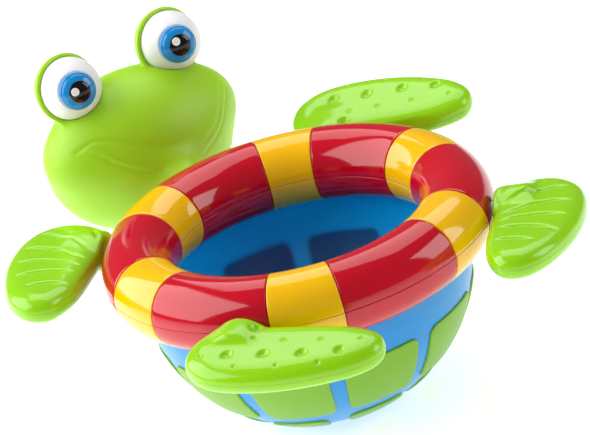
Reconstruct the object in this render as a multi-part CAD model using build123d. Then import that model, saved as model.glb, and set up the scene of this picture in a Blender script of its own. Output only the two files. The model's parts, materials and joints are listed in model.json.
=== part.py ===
from build123d import *
import os
from math import radians, sin, sqrt

# A floating bath toy: a turtle on its back, whose shell is an open basket.
# Millimetres and degrees. +Z is up and is the ring's axis, +Y points to the head.
# The origin is the centre of the flat face under the basket.

# ---- the ring, a hollow lifebuoy in two half shells ----
ring_radius = 65.0        # centre circle of the tube
tube_radius = 15.0
ring_wall = 2.4
ring_height = 72.2        # parting plane above the base
seam = 0.1                # gap between bonded half shells
lip_height = 2.5          # locating lip, above and below the parting plane
lip_wall = 1.2

# ---- the bands, flush half sleeves in recesses of the ring ----
band_count = 6
band_angle = 21.0
band_wall = 1.0
groove_angle = 0.35       # open groove at each end of a band

# ---- the basket ----
bowl_overhang = 1.8       # the bowl's widest radius, beyond the tube's centre circle
bowl_wall = 2.2
bowl_shoulder_rise = 2.0  # the bowl is widest this far above the ring's lowest point
base_radius = 24.0
rim_depth = 1.2           # how far the bowl's rim is let into the ring, between the bands
rim_gap_angle = 0.2       # at each end of a let-in stretch

# ---- scutes, raised panels on the basket ----
scute_height = 0.8
upper_scutes = 10
upper_scute_angle = 30.0
upper_scute_first = 10.0
upper_scute_span = (17.2, 42.3)   # bottom and top edge above the base
lower_scutes = 8
lower_scute_angle = 33.0
lower_scute_first = 38.0
lower_scute_span = (4.0, 11.4)

# ---- flippers ----
flipper_azimuths = {"front_left": 132.0, "front_right": 48.0,
                    "rear_left": 222.0, "rear_right": 318.0}
# how each blade stands: its outer edge raised, its tail end raised, and its tail end swept in
flipper_set = {"front_left": (5.9, 3.5, 3.0), "front_right": (10.5, 3.2, 3.0),
               "rear_left": (-3.6, -2.8, 0.6), "rear_right": (-3.3, 2.5, 0.6)}
fan_side_up = ("front_left", "rear_right")
flipper_thickness = 12.0
flipper_wall = 1.6
flipper_edge = 4.5        # edge rounding
hub_radius = 8.5
hub_length = 15.0
hub_edge = 2.5            # edge rounding
# plan of a blade: distance out from the ring, distance towards the tail
blade_plan = [(1.6, -3), (3.6, -11), (10.4, -16.2), (19, -18.3), (27.5, -16.2), (34.6, -9),
              (37.9, 1), (38.7, 12), (37.8, 24), (34.4, 38), (28.5, 51.5), (20, 59.3),
              (10.2, 58.3), (4.6, 48.5), (2.4, 36), (2.0, 22), (1.7, 8)]
axle_radius = 3.0
axle_flange = 5.5
axle_reach = 13.0         # length of axle inside the flipper
axle_head = 4.2

# ---- head ----
muzzle_half_width = 42.0
muzzle_radius = 33.5
muzzle_y = 123.0          # centre, from the ring's axis
muzzle_lift = 6.7         # centre, above the parting plane
brow_half_width = 45.5    # the wide upper part of the head, from cheek to cheek
brow_radius = 26.5
brow_y = 118.5
brow_lift = 14.5
head_wall = 1.7
neck_radius = 7.0
neck_flange = 9.5
neck_disc = 11.0
neck_boss = 9.0
neck_boss_depth = 16.0
head_turn = 25.0          # each way
stop_finger_width = 3.0
stop_finger_depth = 2.0
stop_finger_reach = 1.5   # beyond the neck's flange
stop_rib_width = 2.0

# ---- eyes ----
eye_radius = 13.3
eye_spacing = 51.0
eye_y = 118.0
eye_lift = 45.5           # above the parting plane
eye_wall = 1.6
eye_cup_wall = 1.4
eye_turn = -10.5          # gaze, to the side
eye_pitch = 12.5          # gaze, upwards
iris_radius = 7.8
iris_top = 16.2           # from the ball's centre
iris_dome = 12.0          # radius of the iris's dome
pupil_radius = 4.6
pupil_rise = 0.35
pupil_gap = 0.02
eye_opening = 6.65        # radius of the hole in the back of the ball
cup_set_back = 1.0        # the cup's open edge behind the ball's centre

# ---- clearances ----
fit_gap = 0.1             # bonded pieces
running_gap = 0.05        # a shaft in its bore
body_gap = 0.35           # pieces that move past each other
hub_gap = 1.4             # ring to flipper
neck_gap = 1.5            # ring to head
bearing_length = 5.0
bearing_wall = 2.5
flange_thickness = 2.0
overcut = 5.0             # how far a cutting shape runs past what it cuts

# ---- worked out ----
ring_outer = ring_radius + tube_radius
bearing_start = ring_outer - ring_wall - bearing_length
bowl_radius = ring_radius + bowl_overhang
bowl_centre = ring_height - tube_radius + bowl_shoulder_rise
bowl_depth = bowl_centre / sqrt(1 - (base_radius / bowl_radius) ** 2)
neck_start = ring_outer + neck_gap


def half_align(upper):
    """Alignment of a block that reaches up or down from the parting plane."""
    return Align.MIN if upper else Align.MAX


def half_section(outer, inner, upper):
    """Half of the ring tube's wall, in the XZ plane."""
    wall = Circle(outer) - Circle(inner)
    shift = seam / 2 if upper else -seam / 2
    keep = Pos(0, shift) * Rectangle(4 * outer, 2 * outer, align=(Align.CENTER, half_align(upper)))
    return Plane.XZ * (Pos(ring_radius, ring_height) * (wall & keep))


def radial_rod(azimuth, radius, start, end):
    """A cylinder along a radius of the ring, in its parting plane."""
    rod = Cylinder(radius, end - start, align=(Align.CENTER, Align.CENTER, Align.MIN))
    return Rot(0, 0, azimuth) * Pos(start, 0, ring_height) * Rot(0, 90, 0) * rod


def ring_torus(radius):
    return Pos(0, 0, ring_height) * Torus(ring_radius, radius)


def swivels():
    """Azimuth and shaft radius of each piece that turns in the ring."""
    return [(azimuth, axle_radius) for azimuth in flipper_azimuths.values()] + [(90.0, neck_radius)]


def bores():
    cuts = []
    for azimuth, radius in swivels():
        cuts.append(radial_rod(azimuth, radius + running_gap, bearing_start - overcut, ring_outer + overcut))
    return cuts


def bearings(grow=0.0):
    """Thick bearing walls inside the ring, before they are bored."""
    blocks = []
    for azimuth, radius in swivels():
        rod = radial_rod(azimuth, radius + bearing_wall + grow, bearing_start, ring_outer)
        blocks.append(rod & ring_torus(tube_radius - ring_wall / 2))
    return blocks


def half_space(upper, size=400.0):
    shift = seam / 2 if upper else -seam / 2
    block = Box(size, size, size, align=(Align.CENTER, Align.CENTER, half_align(upper)))
    return Pos(0, 0, ring_height + shift) * block


def locating_lip():
    """Lip of the lower shell that centres the upper one."""
    outer = tube_radius - ring_wall - fit_gap
    strip = Rectangle(4 * tube_radius, 2 * lip_height)
    lip = (Circle(outer) - Circle(outer - lip_wall)) & strip
    root_height = Rectangle(4 * tube_radius, lip_height - seam / 2, align=(Align.CENTER, Align.MAX))
    root = (Circle(outer + 2 * fit_gap) - Circle(outer - lip_wall)) & (Pos(0, -seam / 2) * root_height)
    ring = revolve(Plane.XZ * (Pos(ring_radius, ring_height) * (lip + root)), Axis.Z, 360)
    for block in bearings(grow=fit_gap):
        ring -= block
    return ring


def band_segment(index, outer, inner, angle, upper):
    start = index * 360 / band_count - angle / 2
    return Rot(0, 0, start) * revolve(half_section(outer, inner, upper), Axis.Z, angle)


def turn_stops():
    """Two ribs in the upper shell that stop the head's finger."""
    reach = neck_flange + stop_finger_reach
    root = reach - 2 * stop_finger_reach
    side = reach * sin(radians(head_turn)) + stop_finger_width / 2 + body_gap
    ribs = []
    for sign in (-1, 1):
        rib = Box(stop_rib_width, stop_finger_depth + 1, tube_radius,
                  align=(Align.CENTER, Align.CENTER, Align.MIN))
        rib = Pos(sign * (side + stop_rib_width / 2), ring_radius, ring_height + root) * rib
        ribs.append(rib & ring_torus(tube_radius - ring_wall / 2))
    return ribs


def ring_shell(upper):
    shell = revolve(half_section(tube_radius, tube_radius - ring_wall, upper), Axis.Z, 360)
    for block in bearings():
        shell += block & half_space(upper)
    if upper:
        for rib in turn_stops():
            shell += rib
    else:
        shell += locating_lip()
        shell -= rim_groove()
    for index in range(band_count):
        shell -= band_segment(index, tube_radius + 1, tube_radius - band_wall,
                              band_angle + 2 * groove_angle, upper)
    for bore in bores():
        shell -= bore
    return shell


def band(index, upper):
    sleeve = band_segment(index, tube_radius, tube_radius - band_wall + fit_gap / 2, band_angle, upper)
    for bore in bores():
        sleeve -= bore
    return sleeve


def bowl_section(inset, floor, top):
    """Right half of the bowl's section, shrunk by inset and cut off at two heights."""
    oval = Pos(0, bowl_centre) * Ellipse(bowl_radius - inset, bowl_depth - inset)
    keep = Pos(0, floor) * Rectangle(2 * bowl_radius, top - floor, align=(Align.MIN, Align.MIN))
    return oval & keep


def bowl_wall_ring(inset, thickness):
    """The bowl's wall as a solid of revolution, before its top is cut to the ring."""
    inner = bowl_section(inset + thickness, bowl_wall, bowl_centre + 1)
    return revolve(Plane.XZ * (bowl_section(inset, 0, bowl_centre) - inner), Axis.Z, 360)


def clear_of_bands(shape, gap_angle):
    """The shape without what it has inside the ring at the bands."""
    for index in range(band_count):
        shape -= band_segment(index, tube_radius + fit_gap, tube_radius - ring_wall,
                              band_angle + 2 * (groove_angle + gap_angle), False)
    return shape


def bowl():
    wall = bowl_wall_ring(0, bowl_wall) - ring_torus(tube_radius - rim_depth + fit_gap)
    return clear_of_bands(wall, rim_gap_angle)


def rim_groove():
    """Groove under the ring that takes the bowl's rim."""
    wall = bowl_wall_ring(-fit_gap, bowl_wall + 2 * fit_gap) - ring_torus(tube_radius - rim_depth)
    return clear_of_bands(wall, 0)


def scute_row(count, angle, first, span):
    """One row of raised panels round the bowl, as a list of solids."""
    bottom, top = span
    section = bowl_section(-scute_height, bottom, top) - bowl_section(-fit_gap / 2, bottom - 1, top + 1)
    panel = revolve(Plane.XZ * section, Axis.Z, angle)
    panels = []
    for index in range(count):
        panels.append(Rot(0, 0, first + index * 360 / count - angle / 2) * panel)
    return panels


def inset_plan(inset):
    """The blade's plan with each point moved inwards, square to its neighbours."""
    points = []
    count = len(blade_plan)
    for index, (x, y) in enumerate(blade_plan):
        before = blade_plan[index - 1]
        after = blade_plan[(index + 1) % count]
        along = Vector(after[0] - before[0], after[1] - before[1]).normalized()
        points.append((x - along.Y * inset, y + along.X * inset))
    return points


def blade_stand(place):
    """Turn of a blade's own frame inside its flipper's frame."""
    tilt, swivel, sweep = flipper_set[place]
    return Rot(swivel, 0, 0) * Rot(0, -tilt, 0) * Rot(0, 0, sweep)


def blade(inset, thickness, edge):
    """The paddle of a flipper, flat: its plan drawn in and given a thickness."""
    outline = make_face(Spline(*inset_plan(inset), periodic=True))
    paddle = extrude(outline, thickness / 2, both=True)
    if edge:
        paddle = fillet(paddle.edges(), edge)
    return paddle


def local_rod(radius, start, end):
    rod = Cylinder(radius, end - start, align=(Align.CENTER, Align.CENTER, Align.MIN))
    return Pos(start, 0, 0) * Rot(0, 90, 0) * rod


def flipper_axle(gap=0.0):
    """Pin with a flange inside the ring and a head inside the flipper."""
    flange_end = bearing_start - body_gap - ring_outer
    shaft = local_rod(axle_radius + gap, flange_end - flange_thickness, axle_reach + gap)
    head = local_rod(axle_head + gap, axle_reach - flange_thickness - gap, axle_reach + gap)
    flange = local_rod(axle_flange + gap, flange_end - flange_thickness, flange_end)
    return shaft + head + flange


def flipper_hub():
    hub = local_rod(hub_radius, hub_gap, hub_gap + hub_length)
    return fillet(hub.edges(), hub_edge)


def flipper(place):
    """The two bonded halves and the axle of one flipper, in place."""
    stand = blade_stand(place)
    core = local_rod(axle_head + flipper_wall, 0, axle_reach + flipper_wall)
    cavity = stand * blade(flipper_wall + 1, flipper_thickness - 2 * flipper_wall, 0) - core
    body = stand * blade(0, flipper_thickness, flipper_edge) + flipper_hub() - cavity
    body -= flipper_axle(fit_gap)
    pieces = {"axle": flipper_axle()}
    for upper in (True, False):
        side = "fan_half" if upper == (place in fan_side_up) else "dimpled_half"
        shift = seam / 2 if upper else -seam / 2
        block = Box(300, 300, 100, align=(Align.CENTER, Align.CENTER, half_align(upper)))
        pieces[side] = body & (stand * Pos(0, 0, shift) * block)
    turned = {}
    for side, piece in pieces.items():
        if place.endswith("right"):
            piece = mirror(piece, about=Plane.XZ)
        turned[side] = Rot(0, 0, flipper_azimuths[place]) * Pos(ring_outer, 0, ring_height) * piece
    return turned


def spheroid(half_width, radius, y, z):
    """An ellipsoid of revolution about the left-right axis."""
    half = Ellipse(half_width, radius) & Rectangle(2 * half_width, radius, align=(Align.CENTER, Align.MIN))
    return Pos(0, y, z) * revolve(half, Axis.X, 360)


def head_form(inset):
    muzzle = spheroid(muzzle_half_width - inset, muzzle_radius - inset,
                      muzzle_y, ring_height + muzzle_lift)
    brow = spheroid(brow_half_width - inset, brow_radius - inset, brow_y, ring_height + brow_lift)
    return muzzle + brow


def eye_centre(side):
    return Pos(side * eye_spacing / 2, eye_y, ring_height + eye_lift)


def eye_location(side):
    """Frame of an eye: origin at the ball's centre, +Z along the gaze."""
    return eye_centre(side) * Rot(0, 0, eye_turn) * Rot(90 - eye_pitch, 0, 0)


def eye_socket(side, grow=0.0):
    return eye_centre(side) * Sphere(eye_radius + fit_gap + grow)


def eye_cup(side):
    """Thin cup round the back of an eye."""
    size = 4 * eye_radius
    front = Box(size, size, size, align=(Align.CENTER, Align.MAX, Align.CENTER))
    return eye_socket(side, eye_cup_wall) - eye_centre(side) * Pos(0, cup_set_back, 0) * front


def head_shell():
    neck_end = neck_start + neck_boss_depth
    shell = head_form(0) + radial_rod(90, neck_boss, neck_start, neck_end)
    cavity = head_form(head_wall) - radial_rod(90, neck_boss, neck_start - overcut, neck_end)
    for side in (-1, 1):
        shell += eye_cup(side)
        cavity -= eye_socket(side, eye_cup_wall)
        shell -= eye_socket(side)
    shell -= cavity
    shell -= radial_rod(90, neck_radius + fit_gap, neck_start - overcut, neck_end + overcut)
    return shell


def neck_plug():
    """Shaft of the head: finger and flange inside the ring, disc inside the head."""
    neck_end = neck_start + neck_boss_depth
    flange_end = bearing_start - body_gap
    inner_end = ring_radius - stop_finger_depth / 2
    shaft = radial_rod(90, neck_radius, inner_end, neck_end + fit_gap + flange_thickness)
    flange = radial_rod(90, neck_flange, flange_end - flange_thickness, flange_end)
    disc = radial_rod(90, neck_disc, neck_end + fit_gap, neck_end + fit_gap + flange_thickness)
    finger = Box(stop_finger_width, stop_finger_depth, neck_flange + stop_finger_reach,
                 align=(Align.CENTER, Align.CENTER, Align.MIN))
    return shaft + flange + disc + Pos(0, ring_radius, ring_height) * finger


def eye_white(side):
    """Hollow ball, open at the back."""
    ball = Sphere(eye_radius) - Sphere(eye_radius - eye_wall)
    opening = Cylinder(eye_opening, eye_radius * 2, align=(Align.CENTER, Align.CENTER, Align.MAX))
    return eye_location(side) * (ball - opening)


def iris(side):
    dome = Pos(0, 0, iris_top - iris_dome) * Sphere(iris_dome)
    button = Cylinder(iris_radius, iris_top, align=(Align.CENTER, Align.CENTER, Align.MIN))
    return eye_location(side) * ((dome & button) - Sphere(eye_radius + fit_gap / 2))


def pupil(side):
    dome_centre = Pos(0, 0, iris_top - iris_dome)
    cap = dome_centre * (Sphere(iris_dome + pupil_rise) - Sphere(iris_dome + pupil_gap))
    button = Cylinder(pupil_radius, iris_top + overcut, align=(Align.CENTER, Align.CENTER, Align.MIN))
    return eye_location(side) * (cap & button)


def save(name, shape):
    if isinstance(shape, list):
        shape = Compound(children=shape)
    export_step(shape, "parts/" + name + ".step")


def main():
    os.makedirs("parts", exist_ok=True)
    save("ring_upper_shell", ring_shell(True))
    save("ring_lower_shell", ring_shell(False))
    for index in range(band_count):
        save("band_upper_" + str(index + 1), band(index, True))
        save("band_lower_" + str(index + 1), band(index, False))
    save("bowl", bowl())
    save("scutes_upper_row", scute_row(upper_scutes, upper_scute_angle,
                                       upper_scute_first, upper_scute_span))
    save("scutes_lower_row", scute_row(lower_scutes, lower_scute_angle,
                                       lower_scute_first, lower_scute_span))
    for place in flipper_azimuths:
        for side, piece in flipper(place).items():
            save("flipper_" + place + "_" + side, piece)
    save("head_shell", head_shell())
    save("neck_plug", neck_plug())
    for name, side in (("left", -1), ("right", 1)):
        save("eye_" + name + "_white", eye_white(side))
        save("eye_" + name + "_iris", iris(side))
        save("eye_" + name + "_pupil", pupil(side))


main()
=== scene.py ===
import json
from math import atan2, cos, pi, radians, sin, sqrt

import bmesh
import bpy
import numpy as np
from mathutils import Matrix, Vector


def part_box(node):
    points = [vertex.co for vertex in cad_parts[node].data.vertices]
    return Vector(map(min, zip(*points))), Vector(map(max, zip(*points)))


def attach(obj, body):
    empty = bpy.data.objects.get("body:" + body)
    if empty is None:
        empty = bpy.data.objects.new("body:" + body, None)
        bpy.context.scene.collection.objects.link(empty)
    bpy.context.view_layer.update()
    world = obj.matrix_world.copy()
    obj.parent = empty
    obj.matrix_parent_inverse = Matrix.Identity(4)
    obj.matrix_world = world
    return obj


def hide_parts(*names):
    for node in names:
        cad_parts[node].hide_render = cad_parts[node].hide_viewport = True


# A floating bath toy: a turtle on its back, whose shell is an open basket.
# Shapes are worked out in millimetres in the CAD's frame, and stored in metres.

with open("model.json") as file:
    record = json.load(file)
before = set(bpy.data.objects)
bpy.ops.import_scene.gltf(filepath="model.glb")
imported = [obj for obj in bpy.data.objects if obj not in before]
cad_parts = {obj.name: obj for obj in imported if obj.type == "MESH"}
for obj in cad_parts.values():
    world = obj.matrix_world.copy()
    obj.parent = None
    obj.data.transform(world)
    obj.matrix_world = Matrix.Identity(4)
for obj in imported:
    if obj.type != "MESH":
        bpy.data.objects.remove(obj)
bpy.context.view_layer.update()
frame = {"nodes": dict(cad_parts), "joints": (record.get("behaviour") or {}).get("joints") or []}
MM = 0.001

# ---- sizes read from the frame ----
joints = {joint["name"]: joint for joint in frame["joints"]}
head_pivot = Vector(joints["head_turn"]["pos_m"]) / MM
ring_height = head_pivot.z
ring_outer = head_pivot.y
tube_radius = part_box("ring_upper_shell")[1].z / MM - ring_height
ring_radius = ring_outer - tube_radius
bowl_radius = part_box("bowl")[1].x / MM

# ---- sizes of the ring and its bands ----
band_count = 6
band_angle = radians(21.0)
groove_angle = radians(0.35)
band_wall = 1.0
ring_wall = 2.4
seam = 0.1
edge_rounding = 0.35
seam_rounding = 0.25

# ---- sizes of the basket and its scutes ----
bowl_centre = ring_height - 13.0
bowl_wall = 2.2
base_radius = 24.0
bowl_depth = bowl_centre / sqrt(1 - (base_radius / bowl_radius) ** 2)
scute_height = 0.85
scute_root = -0.2         # the scutes' hidden back face, under the basket's surface
scute_corner = 4.0
scute_shadow_edge = (-0.8, 1.6)  # the painted shadow of a scute fades in over its edge
# count, angle of one, azimuth of the first, bottom and top edge above the base
scute_rows = {"upper": (10, 30.0, 10.0, (17.2, 42.3)), "lower": (8, 33.0, 38.0, (4.0, 11.4))}

# ---- sizes of the flippers, in a blade's own frame: out from the ring, then towards the tail ----
# how each blade stands: its outer edge raised, its tail end raised, and its tail end swept in
flipper_set = {"front_left": (5.9, 3.5, 3.0), "front_right": (10.5, 3.2, 3.0),
               "rear_left": (-3.6, -2.8, 0.6), "rear_right": (-3.3, 2.5, 0.6)}
fan_side_up = ("front_left", "rear_right")
blade_half = 6.0
blade_rim = 9.0           # how far in from its outline the blade reaches its full thickness
blade_fullness = 2.4      # 2 would be a round rim, more is squarer
hub_radius = 8.5
hub_length = 15.0
hub_gap = 1.4
hub_edge = 3.0
hub_inset = 0.4
hub_blend = 5.0
carving_fade = (1.0, 3.0)  # the grooves and dimples fade out this near the parting plane
joint_recess = 0.04       # each half of a flipper ends this far from the parting plane
blade_plan = [(1.6, -3), (3.6, -11), (10.4, -16.2), (19, -18.3), (27.5, -16.2), (34.6, -9),
              (37.9, 1), (38.7, 12), (37.8, 24), (34.4, 38), (28.5, 51.5), (20, 59.3),
              (10.2, 58.3), (4.6, 48.5), (2.4, 36), (2.0, 22), (1.7, 8)]
fan_grooves = [[(10, -8), (6.5, -1.5), (4.3, 4)],
               [(7.5, 8.5), (13.5, 3), (19.5, -1), (25.5, -3.8), (29.5, -4)],
               [(7, 18), (12, 15), (18, 11), (26.5, 9), (32.5, 9.5)],
               [(7, 25), (13, 22.5), (19.5, 21.3), (26, 21.3), (32, 22.8)],
               [(8, 31.5), (13, 30.8), (19, 31.2), (25, 33), (30, 36)],
               [(8, 42.5), (13, 42), (18, 43), (22.5, 44.8)]]
large_dimples = [(24.5, 0), (24.7, 14.6), (25.0, 30), (23.7, 44.8), (7.4, 7.3)]
groove_size = (0.25, 0.65, 0.85)  # depth at the ends, depth more in the middle, width
small_dimples = [(33, 5), (33, 21.7), (31, 37.7), (14.5, 8.5), (15.2, 20.5), (15.5, 35.4),
                 (16, 51.5), (25.5, -10.5)]
# where they are, half their length and width, and their depth
dimples = ((large_dimples, 3.1, 2.7, 1.5), (small_dimples, 1.35, 1.25, 0.6))
flipper_box = ((-1, -22, -11), (42, 63, 11))
flipper_step = 0.62

# ---- sizes of the head, from the ring's centre: centre and half axes of two ellipsoids ----
muzzle = ((0, 123, 6.7), (42.0, 33.5, 33.5))
brow = ((0, 118.5, 14.5), (45.5, 26.5, 26.5))
brow_blend = 3.0
skin_inset = 0.35         # the skin lies this far inside the two ellipsoids
neck_boss = 7.2
neck_boss_half = 10.0     # half its length
neck_blend = 12.0
neck_start = ring_outer + 1.5
head_box = ((-47, 79, ring_height - 35), (47, 158, ring_height + 62))
head_step = 0.75

# ---- sizes of the eyes ----
eye_closer = 0.97         # how much nearer to the middle the balls stand than in the CAD
eye_back = 2.2            # and how much further back
eye_trim = 0.3            # and how much smaller their radius is
gaze = Vector((-0.179, -0.960, 0.215)).normalized()
eye_side = Vector((-0.82, 0.527, 0.224))
cup_axis = Vector((0.09, -0.975, 0.19)).normalized()
cup_wall = 1.9
cup_set_back = 2.0
cup_blend = 2.5
ball_gap = 0.08
iris_radius = 7.8
iris_bottom = 8.8
iris_top = 15.6
iris_dome = 12.0
iris_rounding = 1.1
pupil_radius = 4.6
pupil_rise = 0.4
pupil_depth = 1.6
pupil_rounding = 0.3
seat_gap = 0.45           # between the iris and the edge of its shallow seat in the ball
seat_depth = 0.3
glint_places = {"left": (2.25, 0.0), "right": (2.0, 1.5)}  # off the pupil's middle: sideways, up
glint_profile = [(0, -0.3), (1.2, -0.3), (1.7, -0.2), (1.72, 0.0), (1.62, 0.1), (1.4, 0.14), (1.0, 0.14),
                 (0.82, 0.12), (0.75, 0.03), (0.62, 0.0), (0.5, 0.03), (0.42, 0.1), (0.2, 0.12), (0, 0.12)]


# ------------------------------------------------------------------ mesh tools
def piece(name, points, faces, surface, body, nodes=(), sharp=None):
    """A closed mesh from points in millimetres, riding on a CAD body."""
    mesh = bpy.data.meshes.new(name)
    faces = faces if isinstance(faces, list) else faces.tolist()
    mesh.from_pydata((np.asarray(points).reshape(-1, 3) * MM).tolist(), [], faces)
    work = bmesh.new()
    work.from_mesh(mesh)
    bmesh.ops.remove_doubles(work, verts=work.verts, dist=2e-7)
    bmesh.ops.recalc_face_normals(work, faces=work.faces)
    work.to_mesh(mesh)
    work.free()
    mesh.shade_smooth()
    if sharp:
        mesh.set_sharp_from_angle(angle=radians(sharp))
    mesh.materials.append(surface)
    made = bpy.data.objects.new(name, mesh)
    bpy.context.scene.collection.objects.link(made)
    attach(made, body)
    if nodes:
        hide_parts(*nodes)
    return made


def grid_faces(rows, columns, wrap_rows=False, wrap_columns=False):
    """Quads between the points of a grid, counted along its rows."""
    row = np.arange(rows if wrap_rows else rows - 1)
    column = np.arange(columns if wrap_columns else columns - 1)
    i, j = np.meshgrid(row, column, indexing="ij")
    i_next, j_next = (i + 1) % rows, (j + 1) % columns
    quads = [i * columns + j, i_next * columns + j, i_next * columns + j_next, i * columns + j_next]
    return np.stack(quads, -1).reshape(-1, 4)


def ramp(value, start, end):
    """Smooth step from 0 at start to 1 at end."""
    t = np.clip((value - start) / (end - start), 0, 1)
    return t * t * (3 - 2 * t)


def edge_drop(distance, size):
    """How far a rounded edge lies under its surface, at a distance from the edge."""
    t = np.clip(1 - distance / size, 0, 1)
    return size * (1 - np.sqrt(1 - t * t))


def lathe(profile, steps=128):
    """Turn a profile of (radius, height), from axis to axis, into a closed mesh."""
    profile = np.asarray(profile, float)
    angle = np.linspace(0, 2 * pi, steps, endpoint=False)[:, None]
    radius, height = profile[:, 0], profile[:, 1]
    points = np.stack([radius * np.cos(angle), radius * np.sin(angle), height + 0 * angle], -1)
    return points, grid_faces(steps, len(profile), wrap_rows=True)


def place(points, matrix):
    """Move points by a 4 x 4 matrix in millimetres."""
    matrix = np.array(matrix)
    return points @ matrix[:3, :3].T + matrix[:3, 3]


def smooth_curve(points, closed, steps=8):
    """Catmull-Rom curve through the points."""
    points = np.asarray(points, float)
    count = len(points)
    if closed:
        ring = np.concatenate([points[-1:], points, points[:2]])
        spans = count
    else:
        ring = np.concatenate([2 * points[:1] - points[1:2], points, 2 * points[-1:] - points[-2:-1]])
        spans = count - 1
    t = np.linspace(0, 1, steps, endpoint=False)[:, None]
    parts = []
    for k in range(spans):
        a, b, c, d = ring[k:k + 4]
        parts.append(0.5 * (2 * b + (c - a) * t + (2 * a - 5 * b + 4 * c - d) * t ** 2
                            + (3 * b - 3 * c + d - a) * t ** 3))
    if not closed:
        parts.append(points[-1:])
    return np.concatenate(parts)


def path_distance(points, path, closed=False):
    """Distance to a polyline, and how far along it the nearest point is, 0 to 1."""
    ends = np.roll(path, -1, axis=0) if closed else path[1:]
    starts = path if closed else path[:-1]
    nearest = np.full(points.shape[:-1], 1e9)
    along = np.zeros(points.shape[:-1])
    for index, (start, end) in enumerate(zip(starts, ends)):
        run = end - start
        t = np.clip(((points - start) @ run) / (run @ run), 0, 1)
        gap = np.linalg.norm(points - start - t[..., None] * run, axis=-1)
        along = np.where(gap < nearest, (index + t) / len(starts), along)
        nearest = np.minimum(nearest, gap)
    return nearest, along


def blend_min(a, b, k):
    """Union of two distances with a smooth joint."""
    h = np.clip(0.5 + 0.5 * (b - a) / k, 0, 1)
    return b * (1 - h) + a * h - k * h * (1 - h)


def blend_max(a, b, k):
    """Overlap of two distances with a smooth joint."""
    return -blend_min(-a, -b, k)


def surface_net(shape, low, high, step, rounds=5):
    """Closed quad mesh where shape(points) = 0, drawn onto the surface by Newton steps."""
    axes = [np.arange(a, b + step, step) for a, b in zip(low, high)]
    grid = np.stack(np.meshgrid(*axes, indexing="ij"), -1)
    value = shape(grid)
    inside = value < 0
    cells = np.array(value.shape) - 1

    def corner(offset):
        return tuple(slice(o, o + n) for o, n in zip(offset, cells))

    filled = sum(inside[corner((i, j, k))].astype(int) for i in (0, 1) for j in (0, 1) for k in (0, 1))
    crossing = (filled > 0) & (filled < 8)
    index = np.full(crossing.shape, -1)
    index[crossing] = np.arange(crossing.sum())
    total = np.zeros((crossing.sum(), 3))
    number = np.zeros((crossing.sum(), 1))
    for axis in range(3):
        for i in (0, 1):
            for j in (0, 1):
                start = np.zeros(3, int)
                start[(axis + 1) % 3] = i
                start[(axis + 2) % 3] = j
                end = start.copy()
                end[axis] = 1
                a, b = value[corner(start)][crossing], value[corner(end)][crossing]
                cut = (a < 0) != (b < 0)
                spot = np.repeat(start[None].astype(float), len(a), 0)
                spot[:, axis] = np.where(cut, a / np.where(cut, a - b, 1), 0)
                total += spot * cut[:, None]
                number += cut[:, None]
    points = np.array([axis[0] for axis in axes]) + (np.argwhere(crossing) + total / number) * step
    quads = []
    for axis in range(3):
        u, v = np.eye(3, dtype=int)[(axis + 1) % 3], np.eye(3, dtype=int)[(axis + 2) % 3]
        before = np.take(inside, np.arange(inside.shape[axis] - 1), axis)
        after = np.take(inside, np.arange(1, inside.shape[axis]), axis)
        edges = np.argwhere(before != after)
        quads.append(np.stack([index[tuple((edges - shift).T)] for shift in (0 * u, u, u + v, v)], -1))
    for _ in range(rounds):
        here = shape(points)
        slope = np.stack([(shape(points + d) - here) / 0.02 for d in np.eye(3) * 0.02], -1)
        steps = here[:, None] * slope / np.maximum((slope ** 2).sum(-1, keepdims=True), 0.05)
        reach = np.linalg.norm(steps, axis=-1, keepdims=True)
        points = points - steps * np.minimum(1, step / np.maximum(reach, 1e-9))
    return points, np.concatenate(quads)


# ------------------------------------------------------------------- materials
def linear(colour):
    """Linear RGBA of an sRGB colour given in 0 to 255."""
    values = [c / 255 for c in colour]
    return [c / 12.92 if c <= 0.04045 else ((c + 0.055) / 1.055) ** 2.4 for c in values] + [1.0]


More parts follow.
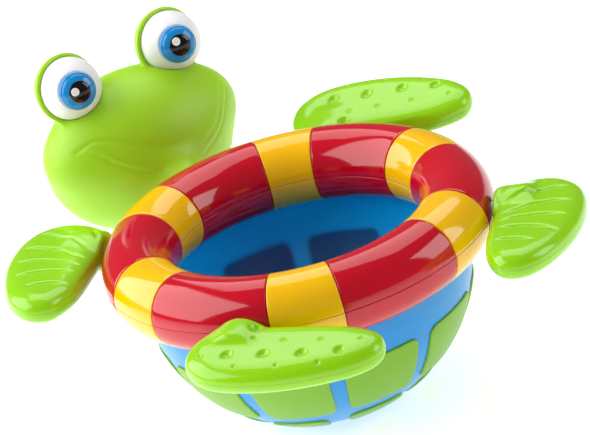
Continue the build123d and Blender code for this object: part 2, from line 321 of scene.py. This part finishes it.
def plastic(name, colour, deep, roughness=(0.18, 0.26), coat=0.6, coat_roughness=0.05,
            mottle=45.0, grain=1400.0, bump=0.006, soft=0.0):
    """Moulded plastic: slow colour drift, uneven gloss, and a fine moulding grain."""
    made = bpy.data.materials.new(name)
    made.use_nodes = True
    nodes, links = made.node_tree.nodes, made.node_tree.links
    shader = nodes["Principled BSDF"]
    shader.inputs["IOR"].default_value = 1.5
    shader.inputs["Coat Weight"].default_value = coat
    shader.inputs["Coat Roughness"].default_value = coat_roughness
    shader.inputs["Subsurface Weight"].default_value = soft
    shader.inputs["Subsurface Radius"].default_value = (1.0, 1.0, 0.6)
    shader.inputs["Subsurface Scale"].default_value = 0.004
    where = nodes.new("ShaderNodeTexCoord")
    drift = nodes.new("ShaderNodeTexNoise")
    drift.inputs["Scale"].default_value = mottle
    drift.inputs["Detail"].default_value = 3.0
    links.new(where.outputs["Object"], drift.inputs["Vector"])
    tint = nodes.new("ShaderNodeMix")
    tint.data_type = "RGBA"
    tint.inputs["A"].default_value = linear(colour)
    tint.inputs["B"].default_value = linear(deep)
    links.new(drift.outputs["Fac"], tint.inputs["Factor"])
    links.new(tint.outputs["Result"], shader.inputs["Base Color"])
    gloss = nodes.new("ShaderNodeMapRange")
    gloss.inputs["To Min"].default_value = roughness[0]
    gloss.inputs["To Max"].default_value = roughness[1]
    links.new(drift.outputs["Fac"], gloss.inputs["Value"])
    links.new(gloss.outputs["Result"], shader.inputs["Roughness"])
    fine = nodes.new("ShaderNodeTexNoise")
    fine.inputs["Scale"].default_value = grain
    fine.inputs["Detail"].default_value = 2.0
    links.new(where.outputs["Object"], fine.inputs["Vector"])
    relief = nodes.new("ShaderNodeBump")
    relief.inputs["Strength"].default_value = 1.0
    relief.inputs["Distance"].default_value = bump * MM
    links.new(fine.outputs["Fac"], relief.inputs["Height"])
    links.new(relief.outputs["Normal"], shader.inputs["Normal"])
    return made


def tint_where(surface, attribute, colour):
    """Mix a second colour in where an attribute of the mesh is 1."""
    nodes, links = surface.node_tree.nodes, surface.node_tree.links
    shader = nodes["Principled BSDF"]
    base = shader.inputs["Base Color"].links[0].from_socket
    where = nodes.new("ShaderNodeAttribute")
    where.attribute_name = attribute
    mix = nodes.new("ShaderNodeMix")
    mix.data_type = "RGBA"
    mix.inputs["B"].default_value = linear(colour)
    links.new(where.outputs["Fac"], mix.inputs["Factor"])
    links.new(base, mix.inputs["A"])
    links.new(mix.outputs["Result"], shader.inputs["Base Color"])


red = plastic("ring_red", (200, 4, 34), (190, 2, 28), roughness=(0.07, 0.11), coat=0.15)
yellow = plastic("band_yellow", (248, 192, 2), (242, 180, 0), roughness=(0.07, 0.11), coat=0.15)
blue = plastic("bowl_blue", (6, 152, 226), (0, 144, 220), roughness=(0.26, 0.34), coat=0.1,
               coat_roughness=0.15, soft=0.6)
# painted light: a brighter blue on the basket's inner face, for the light that shines through its thin wall
tint_where(blue, "inner", (0, 190, 255))
# painted shade: a darker blue inside the basket where the scutes outside block the light through the wall
tint_where(blue, "scute_shadow", (4, 110, 165))
scute_green = plastic("scute_green", (128, 182, 26), (118, 174, 14), roughness=(0.34, 0.46), coat=0.0,
                      bump=0.012, soft=0.1)
skin = plastic("head_green", (164, 216, 22), (156, 210, 10), roughness=(0.4, 0.5), coat=0.0,
               mottle=30, bump=0.01, soft=0.35)
fin = plastic("flipper_green", (150, 214, 12), (140, 207, 2), roughness=(0.12, 0.18), coat=0.1, soft=0.1)
white = plastic("eye_white", (240, 240, 240), (228, 229, 231), roughness=(0.4, 0.55), coat=0.0,
                mottle=160, bump=0.02)
iris_blue = plastic("iris_blue", (16, 138, 206), (10, 126, 196), roughness=(0.1, 0.16), coat=0.1)
pupil_black = plastic("pupil_black", (14, 12, 12), (8, 7, 7), roughness=(0.08, 0.14), coat=0.1)
glint_white = plastic("glint_white", (245, 245, 245), (232, 232, 230), roughness=(0.3, 0.4), coat=0.0)
peg = plastic("peg_white", (226, 226, 222), (214, 214, 210), roughness=(0.35, 0.5), coat=0.0)


# ------------------------------------------------------------ ring and its bands
def half_tube(angles, outer, inner, upper, closed):
    """Half of a tube round the ring. Each angle has its own outer radius."""
    gap = seam / 2 / tube_radius
    near = np.array([0, 0.03, 0.08, 0.15, seam_rounding]) / tube_radius
    middle = np.linspace(near[-1], pi - 2 * gap - near[-1], 56)[1:-1]
    turn = gap + np.concatenate([near, middle, pi - 2 * gap - near[::-1]])
    side = np.minimum(turn - gap, pi - gap - turn) * tube_radius
    out = np.asarray(outer)[:, None] - edge_drop(side, seam_rounding)[None, :]
    radius = np.concatenate([out, np.full(out.shape, inner)], axis=1)
    turn = np.concatenate([turn, turn[::-1]])[None, :]
    angles = np.asarray(angles)[:, None]
    reach = ring_radius + radius * np.cos(turn)
    height = ring_height + (1 if upper else -1) * radius * np.sin(turn)
    points = np.stack([reach * np.cos(angles), reach * np.sin(angles), height], -1)
    rows, columns = radius.shape
    faces = grid_faces(rows, columns, wrap_rows=closed, wrap_columns=True)
    if not closed:
        k = np.arange(columns // 2 - 1)
        cap = np.stack([k, k + 1, columns - 2 - k, columns - 1 - k], -1)
        faces = np.concatenate([faces, cap, cap + (rows - 1) * columns])
    return points, faces


def ring_profile():
    """Angles round the whole ring, and the red shell's outer radius at each."""
    edge = band_angle / 2 + groove_angle
    near = np.array([0, 0.03, 0.08, 0.18, edge_rounding]) / ring_radius
    red_span = 2 * pi / band_count - 2 * edge
    red_angles = np.concatenate([near, np.linspace(near[-1], red_span - near[-1], 40)[1:-1],
                                 red_span - near[::-1]])
    red_side = np.minimum(red_angles, red_span - red_angles) * ring_radius
    recess = np.linspace(-edge + 1e-5, edge - 1e-5, 22)
    angles, outer = [], []
    for index in range(band_count):
        middle = index * 2 * pi / band_count
        angles += [middle + recess, middle + edge + red_angles]
        outer += [np.full(len(recess), tube_radius - band_wall - 0.05),
                  tube_radius - edge_drop(red_side, edge_rounding)]
    return np.concatenate(angles), np.concatenate(outer)


angles, outer = ring_profile()
for half in ("upper", "lower"):
    points, faces = half_tube(angles, outer, tube_radius - ring_wall, half == "upper", True)
    piece("ring_" + half, points, faces, red, "body", ["ring_" + half + "_shell"], sharp=50)

near = np.array([0, 0.03, 0.08, 0.18, edge_rounding]) / ring_radius
band_angles = np.concatenate([near, np.linspace(near[-1], band_angle - near[-1], 24)[1:-1],
                              band_angle - near[::-1]])
band_side = np.minimum(band_angles, band_angle - band_angles) * ring_radius
for index in range(band_count):
    for half in ("upper", "lower"):
        start = index * 2 * pi / band_count - band_angle / 2
        points, faces = half_tube(start + band_angles, tube_radius - edge_drop(band_side, edge_rounding),
                                  tube_radius - band_wall + 0.03, half == "upper", False)
        node = "band_" + half + "_" + str(index + 1)
        piece(node + "_sleeve", points, faces, yellow, "body", [node], sharp=50)


# ------------------------------------------------------------------- the basket
def bowl_profile():
    """Section of the basket from the axis under it, over the rim, to the axis inside."""
    outside = [(r, 0) for r in (0, 6, 12, 18, 22, base_radius - 0.8)]
    top = bowl_centre - 1.9
    for height in np.concatenate([[0.12, 0.5], np.linspace(1.0, top, 110)]):
        drop = (bowl_centre - height) / bowl_depth
        outside.append((bowl_radius * sqrt(1 - drop ** 2), height))
    inner_radius, inner_depth = bowl_radius - bowl_wall, bowl_depth - bowl_wall
    inside = []
    for height in np.linspace(top, bowl_wall + 1.2, 110):
        drop = (bowl_centre - height) / inner_depth
        inside.append((inner_radius * sqrt(1 - drop ** 2), height))
    corner = inside[-1][0]
    inside += [(corner - 2.0, bowl_wall + 0.45), (corner - 4.2, bowl_wall + 0.08)]
    inside += [(r, bowl_wall) for r in (corner - 6, 12, 6, 0)]
    return outside + inside


def inner_face(points):
    """1 on the basket's inner face, 0 elsewhere: where the painted light inside the basket goes."""
    x, y, z = points.T
    drop = np.clip((bowl_centre - z) / (bowl_depth - bowl_wall), -1, 1)
    inner = (bowl_radius - bowl_wall) * np.sqrt(1 - drop ** 2)
    return ((np.hypot(x, y) < inner + 0.5) & (z > bowl_wall - 0.5)).astype(float)


def painted_scute_shadow(points):
    """Painted shade: 1 where a scute lies behind the basket's inner face and blocks the light through the
    wall, 0 elsewhere.
    """
    x, y, z = points.T
    azimuth = np.degrees(np.arctan2(y, x))
    radius = np.hypot(x, y)
    shade = np.zeros(len(x))
    for count, angle, first, (bottom, top) in scute_rows.values():
        pitch = 360 / count
        off = np.abs((azimuth - first + pitch / 2) % pitch - pitch / 2)
        across = radius * np.radians(angle / 2 - off)
        along = np.minimum(z - bottom, top - z)
        corner = scute_corner - np.hypot(np.maximum(scute_corner - across, 0),
                                         np.maximum(scute_corner - along, 0))
        depth = np.minimum(np.minimum(across, along), corner)
        shade = np.maximum(shade, ramp(depth, *scute_shadow_edge))
    return shade * inner_face(points)


points, faces = lathe(bowl_profile(), 360)
bowl = piece("basket", points, faces, blue, "body", ["bowl"], sharp=40)
coordinates = np.zeros(len(bowl.data.vertices) * 3)
bowl.data.vertices.foreach_get("co", coordinates)
# the painted light inside the basket and the painted shadow of the scutes, kept on the mesh as attributes
for attribute, shade in (("inner", inner_face), ("scute_shadow", painted_scute_shadow)):
    values = bowl.data.attributes.new(attribute, "FLOAT", "POINT")
    values.data.foreach_set("value", shade(coordinates.reshape(-1, 3) / MM))


def outline(half_width, half_height, corner, inset):
    """Points round a rounded rectangle that is drawn in by inset."""
    a, b = half_width - inset, half_height - inset
    corner = max(corner - inset, 0.3)
    points = []
    turns = np.linspace(0, pi / 2, 9)
    for quarter, (sx, sy) in enumerate(((1, 1), (-1, 1), (-1, -1), (1, -1))):
        arc = turns + quarter * pi / 2
        points.append(np.stack([sx * (a - corner) + corner * np.cos(arc),
                                sy * (b - corner) + corner * np.sin(arc)], -1))
        far = (-sx, sy) if quarter % 2 == 0 else (sx, -sy)
        turned = (quarter + 1) * pi / 2
        target = np.array([far[0] * (a - corner) + corner * cos(turned),
                           far[1] * (b - corner) + corner * sin(turned)])
        step = np.linspace(0, 1, 12)[1:-1, None]
        points.append(points[-1][-1] * (1 - step) + target * step)
    return np.concatenate(points)


def scute(azimuth, angle, bottom, top):
    """A raised panel on the basket: rings of points that close in on its middle."""
    drops = np.linspace((bowl_centre - bottom) / bowl_depth, (bowl_centre - top) / bowl_depth, 200)
    radius, height = bowl_radius * np.sqrt(1 - drops ** 2), bowl_centre - bowl_depth * drops
    length = np.concatenate([[0], np.cumsum(np.hypot(np.diff(radius), np.diff(height)))])
    middle = length[-1] / 2
    middle_radius = np.interp(middle, length, radius)
    half_width = middle_radius * radians(angle / 2)
    corner = min(scute_corner, 0.45 * length[-1])
    short = min(half_width, middle)
    levels = [(0, scute_root), (0, scute_height * 0.45), (0.08, scute_height * 0.68),
              (0.25, scute_height * 0.86), (0.5, scute_height * 0.96), (0.85, scute_height)]
    rings = []
    for inset, rise in levels:
        rings.append((outline(half_width, middle, corner, inset), rise))
    last = outline(half_width, middle, corner, levels[-1][0])
    for scale in np.linspace(1, 0, max(4, int(short / 1.2)))[1:]:
        rings.append((last * scale, scute_height))
    for scale in np.linspace(0, 1, max(4, int(short / 1.2)))[:-1]:
        rings.append((rings[0][0] * scale, scute_root))
    points = []
    for flat, rise in rings:
        along = middle + flat[:, 1]
        r, z = np.interp(along, length, radius), np.interp(along, length, height)
        out, down = r / bowl_radius ** 2, (z - bowl_centre) / bowl_depth ** 2
        size = np.hypot(out, down)
        r, z = r + rise * out / size, z + rise * down / size
        turn = radians(azimuth) + flat[:, 0] / middle_radius
        points.append(np.stack([r * np.cos(turn), r * np.sin(turn), z], -1))
    points = np.array(points)
    return points, grid_faces(len(points), points.shape[1], wrap_rows=True, wrap_columns=True)


for row, (count, angle, first, (bottom, top)) in scute_rows.items():
    all_points, all_faces, used = [], [], 0
    for index in range(count):
        points, faces = scute(first + index * 360 / count, angle, bottom, top)
        all_points.append(points.reshape(-1, 3))
        all_faces.append(faces + used)
        used += points.shape[0] * points.shape[1]
    piece("scutes_" + row, np.concatenate(all_points), np.concatenate(all_faces), scute_green, "body",
          ["scutes_" + row + "_row"], sharp=60)


# ----------------------------------------------------------------- the flippers
blade_outline = smooth_curve(blade_plan, closed=True, steps=10)
groove_paths = [smooth_curve(path, closed=False, steps=5) for path in fan_grooves]


def outline_depth(flat):
    """Depth inside the blade's plan, negative outside it."""
    gap, _ = path_distance(flat, blade_outline, closed=True)
    x, y = flat[..., 0], flat[..., 1]
    inside = np.zeros(gap.shape, bool)
    for (xa, ya), (xb, yb) in zip(blade_outline, np.roll(blade_outline, -1, axis=0)):
        if ya != yb:
            inside ^= ((ya > y) != (yb > y)) & (x < (xb - xa) * (y - ya) / (yb - ya) + xa)
    return np.where(inside, gap, -gap)


def groove_depth(flat):
    """Depth of the fan's grooves below the blade's face."""
    depth = np.zeros(flat.shape[:-1])
    ends, middle, width = groove_size
    for path in groove_paths:
        gap, along = path_distance(flat, path)
        fade = ramp(along, 0, 0.2) * ramp(1 - along, 0, 0.3)
        depth = np.maximum(depth, (ends + middle * fade) * np.exp(-(gap / width) ** 2))
    return depth


def dimple_depth(flat):
    """Depth of the dimples below the blade's other face."""
    depth = np.zeros(flat.shape[:-1])
    for spots, wide, tall, deep in dimples:
        for u, v in spots:
            reach = np.hypot((flat[..., 0] - u) / wide, (flat[..., 1] - v) / tall)
            depth = np.maximum(depth, deep * np.clip(1 - reach ** 2, 0, 1) ** 1.3)
    return depth


def flipper_shape(axis, fan_sign):
    """Distance field of a flipper in its blade's own frame, fan on one face, dimples on the other."""

    def shape(points):
        flat = points[..., :2] if points.ndim < 4 else points[:, :, :1, :2]
        depth = outline_depth(flat)
        carved = np.where(fan_sign * points[..., 2] > 0, groove_depth(flat), dimple_depth(flat))
        carved = carved * ramp(np.abs(points[..., 2]), *carving_fade)
        rim = np.maximum(1 - depth / blade_rim, 0)
        high = np.abs(points[..., 2]) / blade_half
        full = blade_fullness
        blade = ((rim ** full + high ** full + 1e-12) ** (1 / full) - 1) * blade_half
        along = points @ axis
        off = points - along[..., None] * axis
        away = np.linalg.norm(off, axis=-1)
        ends = np.abs(along - hub_gap - hub_length / 2) - hub_length / 2
        hub = blend_max(away - hub_radius, ends, hub_edge) + hub_inset
        body = blend_min(blade, hub, hub_blend)
        near_ring = hub_gap - 0.1 - along
        return blend_max(body, near_ring, 0.8) + carved

    return shape


def split_mesh(points, faces, keep_positive, recess):
    """The part of a closed mesh on one side of z = 0, cut off a recess away from it, and capped."""
    mesh = bpy.data.meshes.new("split")
    mesh.from_pydata(points.tolist(), [], faces.tolist())
    work = bmesh.new()
    work.from_mesh(mesh)
    sign = 1 if keep_positive else -1
    geometry = work.verts[:] + work.edges[:] + work.faces[:]
    bmesh.ops.bisect_plane(work, geom=geometry, plane_co=(0, 0, sign * recess), plane_no=(0, 0, -sign),
                           clear_outer=True)
    rim = [edge for edge in work.edges if edge.is_boundary]
    bmesh.ops.holes_fill(work, edges=rim, sides=0)
    bmesh.ops.triangulate(work, faces=[face for face in work.faces if len(face.verts) > 4])
    work.verts.ensure_lookup_table()
    out_points = np.array([v.co[:] for v in work.verts])
    out_faces = [[v.index for v in face.verts] for face in work.faces]
    work.free()
    bpy.data.meshes.remove(mesh)
    return out_points, out_faces


for place_name in ("front_left", "front_right", "rear_left", "rear_right"):
    pivot = Vector(joints["flipper_" + place_name + "_swivel"]["pos_m"]) / MM
    azimuth = atan2(pivot.y, pivot.x)
    tilt, swivel, sweep = [radians(angle) for angle in flipper_set[place_name]]
    stand = (Matrix.Rotation(swivel, 4, "X") @ Matrix.Rotation(-tilt, 4, "Y")
             @ Matrix.Rotation(sweep, 4, "Z"))
    fan_sign = 1 if place_name in fan_side_up else -1
    axis = np.array(stand.inverted() @ Vector((1, 0, 0)))
    shape = flipper_shape(axis, fan_sign)
    points, faces = surface_net(shape, *flipper_box, flipper_step)
    across = Matrix.Diagonal((1, -1 if place_name.endswith("right") else 1, 1, 1))
    stand = (Matrix.Translation((0, 0, ring_height)) @ Matrix.Rotation(azimuth, 4, "Z")
             @ Matrix.Translation((ring_outer, 0, 0)) @ across @ stand)
    for side, sign in (("fan", fan_sign), ("dimpled", -fan_sign)):
        half_points, half_faces = split_mesh(points, faces, sign > 0, joint_recess)
        node = "flipper_" + place_name + "_" + side + "_half"
        piece(node + "_skin", place(half_points, stand), half_faces, fin, "flipper_" + place_name,
              [node], sharp=60)


# --------------------------------------------------------------------- the head
ring_centre = np.array([0, 0, ring_height])
eyes = {}
for side in ("left", "right"):
    low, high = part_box("eye_" + side + "_white")
    radius = (high.x - low.x) / 2 / MM
    middle = np.array([(low.x + high.x) / 2, low.y + radius * MM, (low.z + high.z) / 2]) / MM
    eyes[side] = (middle * (eye_closer, 1, 1) + (0, eye_back, 0), radius - eye_trim)

# the mouth: the upper lip's crease, which widens, and the lower lip's ridge, with a hollow beside it
crease_depth, crease_width, crease_spread = 0.7, 0.75, 1.6
ridge_height, ridge_width = 0.4, 0.8
hollow_depth, hollow_width, hollow_distance = 0.3, 1.0, 1.5
# both run over the skin, in places from the ring's centre
upper_lip = smooth_curve([(-37.6, 107.5, 23.9), (-34.6, 105.4, 24.9), (-30.9, 103.8, 26.6),
                          (-27, 101.8, 27.2), (-20.5, 97.6, 25), (-12.5, 93.4, 20.2), (-1.9, 91, 16.1),
                          (5, 90.9, 15.3), (16, 93.5, 17)], closed=False)
lower_lip = smooth_curve([(-32.5, 103.2, 24.3), (-27.7, 99.2, 21.9), (-23.5, 96.1, 17.6),
                          (-16.3, 92.8, 12.8), (-7.6, 90.5, 8.9), (2.2, 89.9, 7.2), (14.5, 91.9, 8.3),
                          (25.4, 96.3, 12.6), (32.3, 100.9, 19.6), (37.9, 109.3, 25.3)], closed=False)


def ellipsoid(points, centre, radii):
    """Near enough the distance to an ellipsoid."""
    offset = points - np.array(centre)
    near = np.linalg.norm(offset / np.array(radii), axis=-1)
    steep = np.linalg.norm(offset / np.array(radii) ** 2, axis=-1)
    return near * (near - 1) / np.maximum(steep, 1e-6)


def head_shape(points):
    """Distance field of the head: muzzle, crown, neck and the cups behind the eyes."""
    local = points - ring_centre
    body = blend_min(ellipsoid(local, *muzzle), ellipsoid(local, *brow), brow_blend) + skin_inset
    boss = np.maximum(np.hypot(local[..., 0], local[..., 2]) - neck_boss,
                      np.abs(local[..., 1] - neck_start - neck_boss_half) - neck_boss_half)
    body = blend_min(body, boss, neck_blend)
    for centre, radius in eyes.values():
        away = points - centre
        reach = np.linalg.norm(away, axis=-1)
        forward = away @ np.array(cup_axis)
        cup = blend_max(reach - radius - cup_wall, forward + cup_set_back, 0.8)
        body = blend_min(body, cup, cup_blend)
        body = blend_max(body, radius + ball_gap - reach, 0.5)
    return body


def mouth_relief(points):
    """How far the lips' crease and ridge move the head's surface inwards."""
    local = points - ring_centre
    relief = np.zeros(points.shape[:-1])
    gap, along = path_distance(local, upper_lip)
    depth = crease_depth * ramp(along, 0, 0.08) * ramp(1 - along, 0, 0.2)
    depth *= 1 - 0.6 * ramp(along, 0.45, 0.75)
    width = crease_width + crease_spread * ramp(along, 0.45, 0.8)
    relief += depth * np.exp(-(gap / width) ** 2)
    gap, along = path_distance(local, lower_lip)
    strength = ramp(along, 0, 0.08) * ramp(1 - along, 0, 0.1)
    beside = hollow_depth * np.exp(-((gap - hollow_distance) / hollow_width) ** 2)
    relief += strength * (beside - ridge_height * np.exp(-(gap / ridge_width) ** 2))
    return relief


def finished_head(points):
    return head_shape(points) + (mouth_relief(points) if points.ndim < 4 else 0)


points, faces = surface_net(finished_head, *head_box, head_step)
piece("head_skin", points, faces, skin, "head", ["head_shell"])


def eye_frame(centre):
    """Axes of an eye: z along the gaze, x towards eye_side."""
    z = gaze
    x = (eye_side - z * eye_side.dot(z)).normalized()
    y = z.cross(x)
    turn = Matrix((x, y, z)).transposed().to_4x4()
    return Matrix.Translation(Vector(centre)) @ turn


def ball_profile(radius):
    """A ball with a shallow seat round the iris."""
    seat = iris_radius + seat_gap
    profile = []
    for t in np.concatenate([np.linspace(0, pi - 0.75, 60), np.linspace(pi - 0.74, pi, 40)]):
        r, z = radius * sin(t), -radius * cos(t)
        if z > 0 and r < seat:
            z -= seat_depth * float(ramp(seat - r, 0, 0.35))
        profile.append((r, z))
    return profile


def button_profile(radius, top, dome, bottom, rounding):
    """A domed button: flat underneath, domed on top, with a rounded edge."""
    profile = [(0, bottom), (radius * 0.5, bottom), (radius, bottom)]
    edge = top - dome + sqrt(dome ** 2 - radius ** 2)
    profile += [(radius, bottom + (edge - rounding - bottom) * t) for t in (0.3, 0.6, 0.9)]
    for t in np.linspace(0, pi / 2 - 0.3, 9):
        profile.append((radius - rounding + rounding * cos(t), edge - rounding + rounding * sin(t)))
    inner = profile[-1][0]
    for r in np.linspace(inner - 0.2, 0, 24):
        profile.append((r, top - dome + sqrt(dome ** 2 - r ** 2) - 0.12 * float(ramp(r, inner - 1.2, inner))))
    return profile


for side, (centre, radius) in eyes.items():
    stand = eye_frame(centre)
    name = "eye_" + side + "_"
    points, faces = lathe(ball_profile(radius))
    piece(name + "ball", place(points, stand), faces, white, "head", [name + "white"])
    points, faces = lathe(button_profile(iris_radius, iris_top, iris_dome, iris_bottom, iris_rounding))
    piece(name + "iris_button", place(points, stand), faces, iris_blue, "head",
          [name + "iris"], sharp=60)
    points, faces = lathe(button_profile(pupil_radius, iris_top + pupil_rise, iris_dome + pupil_rise,
                                         iris_top - pupil_depth, pupil_rounding))
    piece(name + "pupil_button", place(points, stand), faces, pupil_black, "head",
          [name + "pupil"], sharp=60)
    left, up = glint_places[side]
    rise = iris_top - iris_dome + sqrt((iris_dome + pupil_rise) ** 2 - left ** 2 - up ** 2)
    lean = Vector((left, -up, rise - iris_top + iris_dome)).normalized()
    spot = Matrix.Translation((left, -up, rise)) @ lean.to_track_quat("Z", "Y").to_matrix().to_4x4()
    points, faces = lathe(glint_profile, 48)
    piece(name + "glint", place(points, stand @ spot), faces, glint_white, "head", sharp=50)

for node in ("neck_plug",) + tuple("flipper_" + p + "_axle" for p in
                                   ("front_left", "front_right", "rear_left", "rear_right")):
    for material_slot in frame["nodes"][node].material_slots:
        material_slot.material = peg


# ------------------------------------------------------------ floor, light, camera
def floor_material():
    made = bpy.data.materials.new("floor_white")
    made.use_nodes = True
    nodes, links = made.node_tree.nodes, made.node_tree.links
    shader = nodes["Principled BSDF"]
    shader.inputs["Base Color"].default_value = (0.85, 0.85, 0.86, 1)
    shader.inputs["Emission Color"].default_value = (1, 1, 1, 1)
    shader.inputs["Emission Strength"].default_value = 0.62
    cloud = nodes.new("ShaderNodeTexNoise")
    cloud.inputs["Scale"].default_value = 3.0
    gloss = nodes.new("ShaderNodeMapRange")
    gloss.inputs["To Min"].default_value = 0.2
    gloss.inputs["To Max"].default_value = 0.26
    links.new(cloud.outputs["Fac"], gloss.inputs["Value"])
    links.new(gloss.outputs["Result"], shader.inputs["Roughness"])
    return made


floor_reach = 4.0
floor_level = -0.0003
floor_corners = [(x * floor_reach, y * floor_reach, floor_level)
                 for x, y in ((-1, -1), (1, -1), (1, 1), (-1, 1))]
floor_mesh = bpy.data.meshes.new("floor")
floor_mesh.from_pydata(floor_corners, [], [(0, 1, 2, 3)])
floor_mesh.materials.append(floor_material())
floor = bpy.data.objects.new("floor", floor_mesh)
bpy.context.scene.collection.objects.link(floor)


def softbox(name, azimuth, elevation, distance, width, height, radiance):
    """A rectangular area light, placed by its direction and distance from the ring's centre."""
    azimuth, elevation = radians(azimuth), radians(elevation)
    way = Vector((cos(azimuth) * cos(elevation), sin(azimuth) * cos(elevation), sin(elevation)))
    data = bpy.data.lights.new(name, "AREA")
    data.shape = "RECTANGLE"
    data.size, data.size_y = width, height
    data.energy = pi * width * height * radiance
    made = bpy.data.objects.new(name, data)
    made.location = middle + way * distance
    made.rotation_euler = (-way).to_track_quat("-Z", "Y").to_euler()
    bpy.context.scene.collection.objects.link(made)
    return made


middle = Vector((0, 0, ring_height * MM))
# name, azimuth, elevation, distance, width, height, radiance
fills = (("fill_front", 243, 8, 1.4, 1.0, 0.4, 1.3), ("fill_top", 200, 84, 1.0, 0.8, 0.8, 0.8))
for fill in fills:
    softbox(*fill).visible_glossy = False
softbox("softbox_left", 145, 34, 1.25, 1.8, 1.3, 3.3)
softbox("softbox_right", 328, 23, 1.15, 0.62, 0.66, 3.4)
softbox("softbox_back", 45, 56, 1.2, 1.1, 0.9, 2.0)

world = bpy.data.worlds.new("studio")
world.use_nodes = True
world.node_tree.nodes["Background"].inputs["Color"].default_value = (1, 1, 1, 1)
world.node_tree.nodes["Background"].inputs["Strength"].default_value = 0.16
bpy.context.scene.world = world
bpy.context.scene.view_settings.view_transform = "Standard"

camera_data = bpy.data.cameras.new("camera")
camera_data.sensor_fit = "HORIZONTAL"
camera_data.sensor_width = 36.0
camera_data.lens = 308.1
camera_roll = radians(-14.25)
camera = bpy.data.objects.new("camera", camera_data)
camera.location = middle + Vector((-0.8185, -1.6301, 0.8449))
aim = middle + Vector((0.0018, 0.0024, 0.0065))
look = (aim - camera.location).to_track_quat("-Z", "Y").to_matrix().to_4x4()
camera.rotation_euler = (look @ Matrix.Rotation(camera_roll, 4, "Z")).to_euler()
bpy.context.scene.collection.objects.link(camera)
bpy.context.scene.camera = camera
